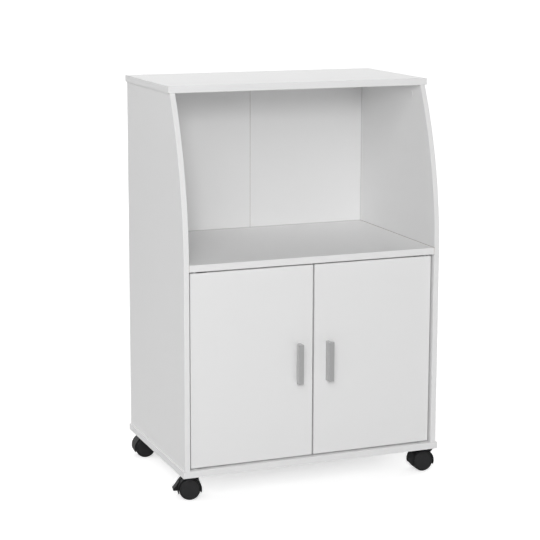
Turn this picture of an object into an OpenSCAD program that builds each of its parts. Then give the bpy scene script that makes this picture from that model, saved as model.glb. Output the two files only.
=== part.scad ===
// Microwave cart: an open bay for a microwave oven over a two-door cupboard, on four
// hooded twin-wheel casters. Millimetres, +Z up. The origin lies on the floor under the
// middle of the cabinet, +X runs to its right-hand side and the doors face -Y.

/* [Cabinet] */
// Width across the outer faces of the side panels
body_w = 600; // [480:5:800]
// Depth from the front edges of the side panels to the rear of the back
body_d = 396; // [340:2:480]
// Clear height of the cupboard behind the doors
cupboard_h = 434; // [340:2:600]
// Clear height of the microwave bay
bay_h = 355; // [280:5:450]
// Thickness of the top, bottom and microwave shelf boards
board_t = 15; // [12:0.5:20]
// Thickness of the side panels
side_t = 12; // [12:0.5:20]
// Thickness of the hardboard back
back_t = 3; // [2.5:0.5:5]
// How far the top and bottom boards stand out past the side panels
side_overhang = 4; // [0:0.5:12]
// How far the top and bottom boards stand out past the front edges of the sides
front_overhang = 2; // [0:0.5:10]
// How far the front edge of the top board lies behind the front of the cupboard
top_setback = 83; // [40:1:120]
// How far the microwave shelf is set back from the front edges of the sides
shelf_setback = 1.5; // [0:0.5:6]
// Margin between the back leaves and the outer faces of the boards they cover
back_margin = 2; // [1:0.5:5]

/* [Doors] */
// Thickness of the doors
door_t = 15; // [12:0.5:18]
// How far the door fronts lie behind the front edges of the side panels
door_recess = 8; // [2:0.5:12]
// Gap between a door and the side panel
door_side_gap = 4.5; // [4.5:0.5:8]
// Gap between the two doors
door_mid_gap = 4; // [3:0.5:8]
// Gap over the doors
door_top_gap = 4; // [3:0.5:8]
// Gap under the doors
door_bottom_gap = 3; // [2.5:0.5:8]
// Distance from a door's outer edge to the axis of its pivots
pivot_inset = 12; // [10:0.5:16]
// Diameter of a pivot pin
pivot_pin_d = 5; // [4:0.5:6]
// How deep a pivot pin reaches into its bush
pivot_reach = 7; // [5:0.5:9]
// Length of a pivot plate let into the door's end
pivot_plate_l = 34; // [26:1:50]
// Width of a pivot plate
pivot_plate_w = 12; // [10:0.5:12]
// Thickness of a pivot plate
pivot_plate_t = 1.5; // [1:0.5:3]
// Outer diameter of a pivot bush
bush_d = 8.5; // [8:0.5:10]
// Diameter of a bush's flange
bush_flange_d = 12; // [11:0.5:13]
// Thickness of a bush's flange
bush_flange_t = 1; // [0.5:0.25:1.5]

/* [Handles] */
// Length of a handle
handle_l = 88; // [70:1:140]
// Width of a handle's front face
handle_w = 12; // [10:0.5:20]
// How far a handle stands out from the door
handle_depth = 20; // [17:0.5:32]
// Width of the foot that joins a handle to the door
handle_foot_w = 7; // [6.5:0.5:7.5]
// Depth of the finger gap between a handle's lip and the door
finger_gap = 9; // [8:0.5:14]
// Distance from a door's free edge to its handle
handle_inset = 28; // [15:0.5:60]
// Height of the handles' middle above the middle of the doors
handle_lift = -2.5; // [-60:0.5:80]
// Spacing of a handle's two screws
handle_pitch = 64; // [48:16:64]
// Thread diameter of the handle screws
handle_screw_d = 4; // [3:0.5:4]

/* [Cupboard] */
// Thickness of the adjustable shelf
inner_shelf_t = 12; // [12:1:20]
// Room between the doors and the front of the adjustable shelf
inner_shelf_front_gap = 30; // [20:1:120]
// Room between the back and the adjustable shelf
inner_shelf_back_gap = 3; // [1:0.5:20]
// Clearance beside the adjustable shelf, on each side
inner_shelf_side_gap = 1; // [0.5:0.5:3]
// Diameter of the shelf pins
shelf_pin_d = 5; // [4:0.5:6]
// Spacing of the shelf pin holes up the side panels
shelf_pin_pitch = 32; // [25:1:50]
// Number of shelf pin holes in a column
shelf_pin_rows = 3; // [1:2:5]
// Distance of the shelf pin columns from the front and rear of the adjustable shelf
shelf_pin_inset = 45; // [30:1:90]
// Width of the magnetic catch across its two ears
catch_w = 76; // [72:1:90]
// Depth of the magnetic catch
catch_d = 14; // [12:1:20]
// Height of the magnetic catch
catch_h = 13; // [11:1:16]
// Width of a strike plate
strike_w = 22; // [16:1:24]
// Height of a strike plate
strike_h = 14; // [10:1:20]
// Thickness of a strike plate
strike_t = 1.2; // [0.8:0.1:2]

/* [Joinery] */
// Diameter of a cam lock
cam_d = 12; // [11:0.5:14]
// Depth of a cam lock
cam_depth = 9.5; // [9:0.25:10]
// Distance from a cam lock's centre to the joint it draws up
cam_reach = 24; // [20:1:34]
// Diameter of a cam bolt's thread
cam_bolt_d = 5; // [4:0.5:5]
// Diameter of a cam bolt's shank
cam_shank_d = 4; // [3:0.5:4]
// Depth of a cam bolt's thread in its board
cam_thread_l = 9; // [8:0.5:9]
// Diameter of the dowels
dowel_d = 6; // [5:0.5:6]
// Depth that a dowel reaches into the face of a board
dowel_end = 9; // [8:0.5:9]
// Depth that a dowel reaches into the end of a board
dowel_body = 20; // [14:1:24]
// Distance of the outer fasteners from the front and rear of a board
joint_inset = 45; // [40:1:70]
// Distance between a fastener and the dowel beside it
dowel_offset = 32; // [24:1:40]
// Thickness of the caps over the cam locks in the bay
cap_t = 0.8; // [0.5:0.1:1.5]
// Diameter of the screws up through the bottom board
bottom_screw_d = 4; // [3:0.5:5]
// Length of the screws up through the bottom board
bottom_screw_l = 45; // [35:1:60]
// Diameter of the back's nails
nail_d = 1.4; // [1:0.1:2]
// Length of the back's nails
nail_l = 16; // [12:1:20]
// Largest spacing of the back's nails
nail_pitch = 130; // [90:5:200]

/* [Casters] */
// Height of the bottom board above the floor
caster_h = 56; // [56:0.5:70]
// Diameter of the wheels
wheel_d = 46; // [44:0.5:46]
// Width of one wheel
wheel_w = 14; // [13:0.5:20]
// Distance from the swivel axis back to the axle
trail = 11; // [10:0.5:13]
// Distance of the swivel axes from the edges of the bottom board
caster_inset = 36; // [32:1:70]
// Side of a mounting plate
plate_w = 40; // [39:1:50]
// Thickness of a mounting plate
plate_t = 2.2; // [1.5:0.1:3]
// Spacing of the holes in a mounting plate
plate_pitch = 30; // [29:0.5:31]
// Diameter of the kingpin
kingpin_d = 6; // [5:0.5:6]
// Diameter of the axle
axle_d = 6; // [5:0.5:6]
// Thickness of the hood's web between the wheels
web_t = 8; // [8:0.5:12]
// Clearance between a hood's fender and the wheel treads
fender_gap = 1; // [0.8:0.1:1.2]
// Thickness of the fender
fender_t = 2.5; // [2:0.1:2.5]
// How far the fender reaches below the axle in front, in degrees
fender_front_drop = 16; // [0:1:30]
// How far the fender reaches below the axle behind, in degrees
fender_rear_drop = 20; // [12:1:25]
// Angle that a brake lever swings through, from down to up
brake_swing = 46; // [20:1:46]
// Radius from the axle to the tip of a brake lever
brake_reach = 36; // [33:0.5:37]
// Width of a brake lever's pedal
pedal_w = 20; // [14:1:30]

/* [Hidden] */
$fn = 48;

// Colours
white_board = [0.93, 0.93, 0.93];
white_plastic = [0.95, 0.95, 0.94];
silver = [0.72, 0.73, 0.75];
zinc = [0.78, 0.79, 0.80];
black_nylon = [0.12, 0.12, 0.12];
birch = [0.80, 0.68, 0.50];

// Shared clearances and small cuts
fit = 0.05;          // radial clearance of a pin, screw or dowel in its bore
bore_extra = 1;      // how much deeper a blind bore is than what it holds
cut = 1;             // how far a cutter runs past the face it opens

// Levels above the floor
bottom_z = caster_h;
cupboard_z = bottom_z + board_t;
shelf_z = cupboard_z + cupboard_h;
bay_z = shelf_z + board_t;
top_z = bay_z + bay_h;
body_top = top_z + board_t;

// Front to back
handle_out = handle_depth - door_recess;
tape_t = 0.4;
nail_head_t = 0.6;
rear_trim = max(tape_t, nail_head_t);
front_y = (handle_out - body_d - rear_trim) / 2;
rear_y = front_y + body_d;
back_y = rear_y - back_t;
top_front_y = front_y + top_setback;
panel_front_y = front_y - front_overhang;
door_front_y = front_y + door_recess;
door_back_y = door_front_y + door_t;
shelf_front_y = front_y + shelf_setback;

// Side to side
inner_w = body_w - 2 * side_t;
panel_w = body_w + 2 * side_overhang;
side_mid_x = body_w / 2 - side_t / 2;
door_w = (inner_w - 2 * door_side_gap - door_mid_gap) / 2;

// Front edge of a side panel: straight beside the doors, then an arc back to the top
arc_z = shelf_z;
arc_h = top_z - arc_z;
arc_setback = top_setback + front_overhang;
arc_r = (arc_h * arc_h + arc_setback * arc_setback) / (2 * arc_setback);

// Doors
door_z = cupboard_z + door_bottom_gap;
door_h = cupboard_h - door_bottom_gap - door_top_gap;
pivot_x = inner_w / 2 - door_side_gap - pivot_inset;
pivot_y = door_front_y + door_t / 2;
pivot_bore_depth = pivot_reach + bore_extra;
collar_d = 7;
flange_gap = 0.3;

// Handles
handle_z = door_z + door_h / 2 + handle_lift;
handle_x = door_mid_gap / 2 + handle_inset;
handle_round = 0.8;
handle_hollow_r = 2;
handle_thread_l = 12;
handle_head_d = 8;
handle_head_t = 2.2;

// Adjustable shelf
inner_shelf_z = cupboard_z + (cupboard_h - inner_shelf_t) / 2;
inner_shelf_front_y = door_back_y + inner_shelf_front_gap;
inner_shelf_back_y = back_y - inner_shelf_back_gap;
pin_tab_t = 2;
pin_tab_l = 9;
pin_tab_w = 9;
pin_depth = 8;
pin_ys = [inner_shelf_front_y + shelf_pin_inset, inner_shelf_back_y - shelf_pin_inset];
pin_z = inner_shelf_z - pin_tab_t / 2;

// Magnetic catch
catch_gap = 0.3;
catch_y = door_back_y + strike_t + catch_gap;
catch_ear_t = 5;
catch_ear_l = 10;
magnet_out = 1.5;
magnet_w = 18;
magnet_h = 7;
strike_z = door_z + door_h - strike_h - 1;
strike_x = door_mid_gap / 2 + 4 + strike_w / 2;
catch_screw_d = 3.5;
catch_screw_l = 14;
catch_head_d = 7;
catch_head_t = 2;

// Joinery
top_joint_ys = [top_front_y + joint_inset, back_y - joint_inset];
shelf_joint_ys = [front_y + joint_inset, back_y - joint_inset];
bottom_joint_ys = [front_y + joint_inset, back_y - joint_inset];
cam_axis = 6;
cam_socket_d = 7;
cam_ball_d = 6;
cam_slot_w = 1.6;
cam_slot_depth = 2;
bolt_bore_d = cam_ball_d + 0.4;
screw_head_d = 2 * bottom_screw_d;
screw_head_t = bottom_screw_d * 0.6;
nail_head_d = 4;
tape_w = 30;
leaf_gap = 0.6;

// Casters
axle_z = wheel_d / 2;
hood_bore_r = wheel_d / 2 + fender_gap;
hood_r = hood_bore_r + fender_t;
wheel_gap = 0.35;
hood_w = web_t + 2 * (wheel_gap + wheel_w) - 1;
race_d = 22;
race_t = 1;
swivel_gap = 0.3;
neck_top = caster_h - plate_t - race_t - swivel_gap;
neck_d = 21;
neck_bottom = axle_z + axle_d / 2 + 5;
kingpin_l = 10;
axle_end_gap = 0.3;
axle_depth = wheel_w - 3;
plate_r = 4;
plate_hole_d = 4.2;
caster_screw_d = 3.6;
caster_screw_l = 12;
caster_head_d = 7;
caster_head_t = 2;
lever_t = 4;
lever_arm_w = 7;
lever_hub_d = 13;
lever_slot_gap = 0.4;
pedal_in_r = hood_r + 0.6;
pedal_low = -6;
pedal_high = 40;
arm_angle = 10;
hub_wall = 3.5;

// Caster sites: X, Y, heading of the hood's front, whether it has a brake, lever rest angle
caster_x = panel_w / 2 - caster_inset;
caster_front_y = panel_front_y + caster_inset;
caster_back_y = back_y - caster_inset;
front_left = [-caster_x, caster_front_y, -12, true, 0];
front_right = [caster_x, caster_front_y, 178, true, brake_swing];
back_left = [-caster_x, caster_back_y, -6, false, 0];
back_right = [caster_x, caster_back_y, 172, false, 0];
caster_sites = [front_left, front_right, back_left, back_right];

function on_arc(r, a) = [r * cos(a), r * sin(a)];
function arc_points(r, a0, a1, n) = [for (i = [0 : n]) on_arc(r, a0 + (a1 - a0) * i / n)];

// A cylinder from a point along X, Y or Z
module rod_x(d, l) {
    rotate([0, 90, 0]) cylinder(d = d, h = l);
}

module rod_y(d, l) {
    rotate([-90, 0, 0]) cylinder(d = d, h = l);
}

// A flat plate with round corners, centred on the origin
module round_rect(w, h, r) {
    square([w - 2 * r, h], center = true);
    square([w, h - 2 * r], center = true);
    for (x = [-1, 1], y = [-1, 1]) {
        translate([x * (w / 2 - r), y * (h / 2 - r)]) circle(r = r);
    }
}

// ---- Boards ----

module board(x0, x1, y0, y1, z0, t) {
    translate([x0, y0, z0]) cube([x1 - x0, y1 - y0, t]);
}

// Bores that run up from a level, at the middle of both side panels
module side_bores(ys, d, z0, z1) {
    for (s = [-1, 1], y = ys) {
        translate([s * side_mid_x, y, z0]) cylinder(d = d, h = z1 - z0);
    }
}

function offset_ys(ys) = [ys[0] + dowel_offset, ys[1] - dowel_offset];

module top_panel() {
    color(white_board)
    difference() {
        board(-panel_w / 2, panel_w / 2, top_front_y, back_y, top_z, board_t);
        side_bores(top_joint_ys, cam_bolt_d + 2 * fit, top_z - cut, top_z + cam_thread_l + bore_extra);
        side_bores(offset_ys(top_joint_ys), dowel_d + 2 * fit, top_z - cut,
                   top_z + dowel_end + bore_extra);
        nail_bores();
    }
}

module bottom_panel() {
    color(white_board)
    difference() {
        board(-panel_w / 2, panel_w / 2, panel_front_y, back_y, bottom_z, board_t);
        side_bores(bottom_joint_ys, bottom_screw_d + 2 * fit, bottom_z - cut, cupboard_z + cut);
        side_bores(bottom_joint_ys, screw_head_d + 2 * fit, bottom_z - cut, bottom_z + screw_head_t);
        side_bores(offset_ys(bottom_joint_ys), dowel_d + 2 * fit,
                   cupboard_z - dowel_end - bore_extra, cupboard_z + cut);
        for (s = [-1, 1]) {
            translate([s * pivot_x, pivot_y, cupboard_z - pivot_bore_depth - bore_extra])
                cylinder(d = bush_d + 2 * fit, h = pivot_bore_depth + bore_extra + cut);
        }
        caster_screw_bores();
        nail_bores();
    }
}

module microwave_shelf() {
    color(white_board)
    difference() {
        board(-inner_w / 2, inner_w / 2, shelf_front_y, back_y, shelf_z, board_t);
        shelf_bolt_spaces(bolt_bore_d, cam_reach);
        for (s = [-1, 1], y = shelf_joint_ys) {
            translate([s * (inner_w / 2 - cam_reach), y, shelf_z - cut])
                cylinder(d = cam_d + 2 * fit, h = cam_depth + cut);
        }
        for (s = [-1, 1], y = offset_ys(shelf_joint_ys)) {
            translate([s * inner_w / 2, y, shelf_z + cam_axis])
                rotate([0, s > 0 ? -90 : 90, 0])
                translate([0, 0, -cut])
                cylinder(d = dowel_d + 2 * fit, h = dowel_body + bore_extra + cut);
        }
        for (s = [-1, 1]) {
            translate([s * pivot_x, pivot_y, shelf_z - cut])
                cylinder(d = bush_d + 2 * fit, h = pivot_bore_depth + bore_extra + cut);
        }
        catch_screw_bores();
        nail_bores();
    }
}

// Round spaces along the bolts that draw the microwave shelf to the sides
module shelf_bolt_spaces(d, l) {
    for (s = [-1, 1], y = shelf_joint_ys) {
        translate([s * inner_w / 2, y, shelf_z + cam_axis])
            rotate([0, s > 0 ? -90 : 90, 0])
            translate([0, 0, -cut]) cylinder(d = d, h = l + cut);
    }
}

// Outline of a side panel, seen from its side: X is front to back, Y is up
module side_outline() {
    translate([front_y, cupboard_z]) square([back_y - front_y, arc_z - cupboard_z]);
    intersection() {
        translate([front_y, arc_z]) square([back_y - front_y, arc_h]);
        translate([front_y + arc_r, arc_z]) circle(r = arc_r, $fn = 360);
    }
}

// The left side panel: the right one is its mirror image
module side_panel() {
    color(white_board)
    difference() {
        translate([-body_w / 2, 0, 0])
            rotate([90, 0, 90])
            linear_extrude(side_t) side_outline();
        side_bores(top_joint_ys, bolt_bore_d, top_z - cam_reach, top_z + cut);
        side_bores(offset_ys(top_joint_ys), dowel_d + 2 * fit,
                   top_z - dowel_body - bore_extra, top_z + cut);
        side_bores(bottom_joint_ys, bottom_screw_d + 2 * fit, cupboard_z - cut,
                   bottom_z + bottom_screw_l + bore_extra);
        side_bores(offset_ys(bottom_joint_ys), dowel_d + 2 * fit, cupboard_z - cut,
                   cupboard_z + dowel_body + bore_extra);
        for (y = top_joint_ys) {
            translate([-inner_w / 2 + cut, y, top_z - cam_reach])
                rotate([0, -90, 0]) cylinder(d = cam_d + 2 * fit, h = cam_depth + cut);
        }
        for (y = shelf_joint_ys) {
            translate([-inner_w / 2 + cut, y, shelf_z + cam_axis])
                rotate([0, -90, 0])
                cylinder(d = cam_bolt_d + 2 * fit, h = cam_thread_l + bore_extra + cut);
        }
        for (y = offset_ys(shelf_joint_ys)) {
            translate([-inner_w / 2 + cut, y, shelf_z + cam_axis])
                rotate([0, -90, 0]) cylinder(d = dowel_d + 2 * fit, h = dowel_end + bore_extra + cut);
        }
        for (y = pin_ys, i = [0 : shelf_pin_rows - 1]) {
            translate([-inner_w / 2 + cut, y, pin_z + (i - (shelf_pin_rows - 1) / 2) * shelf_pin_pitch])
                rotate([0, -90, 0]) cylinder(d = shelf_pin_d + 2 * fit, h = pin_depth + bore_extra + cut);
        }
        nail_bores();
    }
}

module left_side_panel() {
    side_panel();
}

module right_side_panel() {
    mirror([1, 0, 0]) side_panel();
}

module inner_shelf() {
    color(white_board)
    board(-inner_w / 2 + inner_shelf_side_gap, inner_w / 2 - inner_shelf_side_gap,
          inner_shelf_front_y, inner_shelf_back_y, inner_shelf_z, inner_shelf_t);
}

// Spade pins: a round peg in the side panel and a flat tab under the shelf
module shelf_pins() {
    color(zinc)
    for (s = [-1, 1], y = pin_ys) {
        translate([s * inner_w / 2, y, pin_z]) {
            rotate([0, s * 90, 0]) cylinder(d = shelf_pin_d, h = pin_depth);
            translate([s > 0 ? -pin_tab_l : 0, -pin_tab_w / 2, -pin_tab_t / 2])
                cube([pin_tab_l, pin_tab_w, pin_tab_t]);
        }
    }
}

// ---- Back ----

nail_count_z = ceil((body_top - bottom_z - 2 * joint_inset) / nail_pitch);
nail_count_x = ceil((body_w - 2 * joint_inset) / nail_pitch / 2) * 2;
nail_rows_z = [bottom_z + board_t / 2, shelf_z + board_t / 2, top_z + board_t / 2];

function nail_z(i) = bottom_z + joint_inset + (body_top - bottom_z - 2 * joint_inset) * i / nail_count_z;
function nail_x(i) = -body_w / 2 + joint_inset + (body_w - 2 * joint_inset) * (i + 0.5) / nail_count_x;

// Runs its children at every nail, with +Y from the nail's head to its point
module at_nails() {
    for (s = [-1, 1], i = [0 : nail_count_z]) {
        translate([s * side_mid_x, rear_y, nail_z(i)]) mirror([0, 1, 0]) children();
    }
    for (z = nail_rows_z, i = [0 : nail_count_x - 1]) {
        translate([nail_x(i), rear_y, z]) mirror([0, 1, 0]) children();
    }
}

module nail_bores() {
    at_nails() rod_y(nail_d + 2 * fit, nail_l + bore_extra);
}

module back_nails() {
    color(zinc)
    at_nails() {
        rod_y(nail_d, nail_l);
        translate([0, -nail_head_t, 0]) rod_y(nail_head_d, nail_head_t);
    }
}

module back_leaf() {
    color(white_board)
    difference() {
        translate([-body_w / 2 + back_margin, back_y, bottom_z + back_margin])
            cube([body_w / 2 - back_margin - leaf_gap / 2, back_t, body_top - bottom_z - 2 * back_margin]);
        at_nails() translate([0, -cut, 0]) rod_y(nail_d + 2 * fit, nail_l);
    }
}

module left_back_leaf() {
    back_leaf();
}

module right_back_leaf() {
    mirror([1, 0, 0]) back_leaf();
}

module back_fold_tape() {
    color(white_plastic)
    translate([-tape_w / 2, rear_y, bottom_z + back_margin])
        cube([tape_w, tape_t, body_top - bottom_z - 2 * back_margin]);
}

// ---- Joinery ----

// A cam lock that opens on +Z, with its bolt coming in along +X at the bolt's depth
module cam_lock() {
    difference() {
        translate([0, 0, -cam_depth]) cylinder(d = cam_d, h = cam_depth);
        translate([0, 0, -cam_axis]) rod_x(cam_socket_d, cam_d);
        translate([0, 0, -cam_axis]) sphere(d = cam_socket_d);
        translate([-cam_d, -cam_slot_w / 2, -cam_slot_depth])
            cube([2 * cam_d, cam_slot_w, 2 * cam_slot_depth]);
        translate([-cam_slot_w / 2, -cam_d, -cam_slot_depth])
            cube([cam_slot_w, 2 * cam_d, 2 * cam_slot_depth]);
    }
}

// A cam bolt along +Z from the joint plane at 0: thread below it, shank and ball above it
module cam_bolt() {
    translate([0, 0, -cam_thread_l]) cylinder(d = cam_bolt_d, h = cam_thread_l);
    cylinder(d = cam_shank_d, h = cam_reach);
    translate([0, 0, cam_reach]) sphere(d = cam_ball_d);
}

module cam_locks() {
    color(zinc) {
        for (s = [-1, 1], y = top_joint_ys) {
            translate([s * inner_w / 2, y, top_z - cam_reach])
                rotate([0, -s * 90, 0])
                rotate([0, 0, s > 0 ? 0 : 180]) cam_lock();
        }
        for (s = [-1, 1], y = shelf_joint_ys) {
            translate([s * (inner_w / 2 - cam_reach), y, shelf_z])
                rotate([180, 0, 0])
                rotate([0, 0, s > 0 ? 0 : 180]) cam_lock();
        }
    }
}

module cam_bolts() {
    color(zinc) {
        for (s = [-1, 1], y = top_joint_ys) {
            translate([s * side_mid_x, y, top_z]) rotate([180, 0, 0]) cam_bolt();
        }
        for (s = [-1, 1], y = shelf_joint_ys) {
            translate([s * inner_w / 2, y, shelf_z + cam_axis]) rotate([0, -s * 90, 0]) cam_bolt();
        }
    }
}

// White caps over the cam locks that face the microwave bay
module cam_caps() {
    color(white_plastic)
    for (s = [-1, 1], y = top_joint_ys) {
        translate([s * inner_w / 2, y, top_z - cam_reach])
            rotate([0, -s * 90, 0]) cylinder(d = cam_d + 2, h = cap_t);
    }
}

module dowels() {
    color(birch) {
        for (s = [-1, 1], y = offset_ys(top_joint_ys)) {
            translate([s * side_mid_x, y, top_z - dowel_body])
                cylinder(d = dowel_d, h = dowel_body + dowel_end);
        }
        for (s = [-1, 1], y = offset_ys(bottom_joint_ys)) {
            translate([s * side_mid_x, y, cupboard_z - dowel_end])
                cylinder(d = dowel_d, h = dowel_body + dowel_end);
        }
        for (s = [-1, 1], y = offset_ys(shelf_joint_ys)) {
            translate([s * (inner_w / 2 + dowel_end), y, shelf_z + cam_axis])
                rotate([0, -s * 90, 0]) cylinder(d = dowel_d, h = dowel_body + dowel_end);
        }
    }
}

module bottom_screws() {
    color(zinc)
    for (s = [-1, 1], y = bottom_joint_ys) {
        translate([s * side_mid_x, y, bottom_z]) {
            cylinder(d = bottom_screw_d, h = bottom_screw_l);
            cylinder(d = screw_head_d, h = screw_head_t);
        }
    }
}

// ---- Door hardware in the cabinet ----

// A flanged bush that opens on +Z
module pivot_bush() {
    difference() {
        union() {
            translate([0, 0, -pivot_bore_depth]) cylinder(d = bush_d, h = pivot_bore_depth);
            cylinder(d = bush_flange_d, h = bush_flange_t);
        }
        translate([0, 0, -pivot_reach - bore_extra / 2])
            cylinder(d = pivot_pin_d + 2 * fit, h = pivot_reach + bore_extra + bush_flange_t);
    }
}

module pivot_bushes() {
    color(white_plastic)
    for (s = [-1, 1]) {
        translate([s * pivot_x, pivot_y, cupboard_z]) pivot_bush();
        translate([s * pivot_x, pivot_y, shelf_z]) rotate([180, 0, 0]) pivot_bush();
    }
}

// Runs its children at the magnetic catch's two screws
module at_catch_screws() {
    for (s = [-1, 1]) {
        translate([s * (catch_w - catch_ear_l) / 2, catch_y + (magnet_out + catch_d) / 2, shelf_z])
            children();
    }
}

module catch_screw_bores() {
    at_catch_screws()
        translate([0, 0, -cut])
        cylinder(d = catch_screw_d + 2 * fit, h = catch_screw_l - catch_ear_t + bore_extra + cut);
}

// A housing with two ears under the shelf and a magnet for each door
module magnetic_catch() {
    housing_w = catch_w - 2 * catch_ear_l;
    body_y = catch_y + magnet_out;
    color(white_plastic)
    difference() {
        union() {
            board(-catch_w / 2, catch_w / 2, body_y, catch_y + catch_d,
                  shelf_z - catch_ear_t, catch_ear_t);
            board(-housing_w / 2, housing_w / 2, body_y, catch_y + catch_d,
                  shelf_z - catch_h, catch_h);
            for (s = [-1, 1]) {
                board(s * strike_x - magnet_w / 2, s * strike_x + magnet_w / 2, catch_y, body_y + 1,
                      strike_z + (strike_h - magnet_h) / 2, magnet_h);
            }
        }
        at_catch_screws()
            translate([0, 0, -catch_h]) cylinder(d = catch_screw_d + 2 * fit, h = 2 * catch_h);
    }
}

module catch_screws() {
    color(zinc)
    at_catch_screws() {
        translate([0, 0, -catch_ear_t]) cylinder(d = catch_screw_d, h = catch_screw_l);
        translate([0, 0, -catch_ear_t - catch_head_t]) cylinder(d = catch_head_d, h = catch_head_t);
    }
}

// ---- Left door: the right one is its mirror image ----

module at_handle_screws() {
    for (s = [-1, 1]) {
        translate([-handle_x - handle_foot_w / 2, 0, handle_z + s * handle_pitch / 2]) children();
    }
}

module door() {
    color(white_board)
    difference() {
        translate([-door_mid_gap / 2 - door_w, door_front_y, door_z]) cube([door_w, door_t, door_h]);
        at_handle_screws()
            translate([0, door_front_y - cut, 0]) rod_y(handle_screw_d + 2 * fit, door_t + 2 * cut);
        for (top = [false, true]) {
            at_door_end(top) pivot_shape(fit);
        }
    }
}

// Places a pivot at the door's bottom or top end, with +Z out of the door
module at_door_end(top) {
    translate([-pivot_x, pivot_y, top ? door_z + door_h : door_z]) {
        if (top) {
            children();
        } else {
            rotate([180, 0, 0]) children();
        }
    }
}

// What a pivot takes up inside the door: a let-in plate and a stub below it
module pivot_shape(gap) {
    translate([pivot_plate_l / 2 - 6, 0, -pivot_plate_t])
        linear_extrude(pivot_plate_t + (gap > 0 ? cut : 0))
        round_rect(pivot_plate_l - (gap > 0 ? 0 : 2 * fit), pivot_plate_w - (gap > 0 ? 0 : 2 * fit), 3);
    translate([0, 0, -pivot_plate_t - 8])
        cylinder(d = pivot_pin_d + 2 * gap, h = 9);
}

module pivot(gap_to_bush) {
    pivot_shape(0);
    cylinder(d = collar_d, h = gap_to_bush - bush_flange_t - flange_gap);
    cylinder(d = pivot_pin_d, h = gap_to_bush + pivot_reach - bore_extra);
}

module door_pivots() {
    color(zinc) {
        at_door_end(true) pivot(door_top_gap);
        at_door_end(false) pivot(door_bottom_gap);
    }
}

// Cross-section of a handle: X from its inner side, Y out from the door
module handle_section() {
    difference() {
        square([handle_w, handle_depth]);
        translate([handle_foot_w + handle_hollow_r, -cut])
            square([handle_w, finger_gap + cut]);
        translate([handle_foot_w, -cut])
            square([handle_w, finger_gap - handle_hollow_r + cut]);
        translate([handle_foot_w + handle_hollow_r, finger_gap - handle_hollow_r])
            circle(r = handle_hollow_r);
        for (x = [0, 1]) {
            translate([x * handle_w, handle_depth])
                mirror([x, 0])
                translate([0, -handle_round])
                difference() {
                    translate([-cut, 0]) square([handle_round + cut, handle_round + cut]);
                    translate([handle_round, 0]) circle(r = handle_round);
                }
        }
    }
}

module handle() {
    color(silver)
    difference() {
        translate([-handle_x, door_front_y, handle_z - handle_l / 2])
            rotate([0, 0, 180]) linear_extrude(handle_l) handle_section();
        at_handle_screws()
            translate([0, door_front_y + cut, 0])
            mirror([0, 1, 0]) rod_y(handle_screw_d + 2 * fit, handle_thread_l + bore_extra + cut);
    }
}

module handle_screws() {
    color(zinc)
    at_handle_screws() {
        translate([0, door_front_y - handle_thread_l, 0]) rod_y(handle_screw_d, handle_thread_l + door_t);
        translate([0, door_back_y, 0]) rod_y(handle_head_d, handle_head_t);
    }
}

module strike_plate() {
    color(zinc)
    translate([-strike_x - strike_w / 2, door_back_y, strike_z])
        cube([strike_w, strike_t, strike_h]);
}

module left_door() {
    door();
}

module left_door_pivots() {
    door_pivots();
}

module left_door_handle() {
    handle();
}

module left_handle_screws() {
    handle_screws();
}

module left_strike_plate() {
    strike_plate();
}

module right_door() {
    mirror([1, 0, 0]) door();
}

module right_door_pivots() {
    mirror([1, 0, 0]) door_pivots();
}

module right_door_handle() {
    mirror([1, 0, 0]) handle();
}

module right_handle_screws() {
    mirror([1, 0, 0]) handle_screws();
}

module right_strike_plate() {
    mirror([1, 0, 0]) strike_plate();
}

// ---- Casters ----

module at_plate_holes() {
    for (x = [-1, 1], y = [-1, 1]) {
        translate([x * plate_pitch / 2, y * plate_pitch / 2, 0]) children();
    }
}

module at_casters() {
    for (site = caster_sites) {
        translate([site[0], site[1], 0]) children();
    }
}

module caster_screw_bores() {
    at_casters() at_plate_holes()
        translate([0, 0, bottom_z - cut])
        cylinder(d = caster_screw_d + 2 * fit, h = caster_screw_l - plate_t + bore_extra + cut);
}

module caster_screws() {
    color(zinc)
    at_casters() at_plate_holes() {
        translate([0, 0, bottom_z - plate_t]) cylinder(d = caster_screw_d, h = caster_screw_l);
        translate([0, 0, bottom_z - plate_t - caster_head_t])
            cylinder(d1 = caster_screw_d + 1, d2 = caster_head_d, h = caster_head_t);
    }
}

// Steel plate with the race and the riveted kingpin that the hood turns on
module caster_plate(site) {
    color(black_nylon)
    translate([site[0], site[1], 0]) {
        difference() {
            translate([0, 0, bottom_z - plate_t])
                linear_extrude(plate_t) round_rect(plate_w, plate_w, plate_r);
            at_plate_holes()
                translate([0, 0, bottom_z - plate_t - cut])
                cylinder(d = plate_hole_d, h = plate_t + 2 * cut);
        }
        translate([0, 0, bottom_z - plate_t - race_t]) cylinder(d = race_d, h = race_t);
        translate([0, 0, neck_top - kingpin_l])
            cylinder(d = kingpin_d, h = kingpin_l + swivel_gap + race_t);
    }
}

// Frame of a caster: the hood's front on +X, the axle behind the swivel axis
module at_caster(site) {
    translate([site[0], site[1], 0]) rotate([0, 0, site[2]]) children();
}

// Frame of a caster's axle: +Y along the axle, +X ahead, the axle's centre at the origin
module at_axle(site) {
    at_caster(site) translate([-trail, 0, axle_z]) children();
}

// A disc across the axle, from y0 to y1
module disc_y(d, y0, y1) {
    translate([0, y0, 0]) rod_y(d, y1 - y0);
}

// A wedge of a round, seen along the axle: a0 and a1 from +X towards +Z
module sector(r, a0, a1, w) {
    rotate([90, 0, 0])
        linear_extrude(w, center = true)
        polygon(concat([[0, 0]], arc_points(r, a0, a1, 12)));
}

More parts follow.
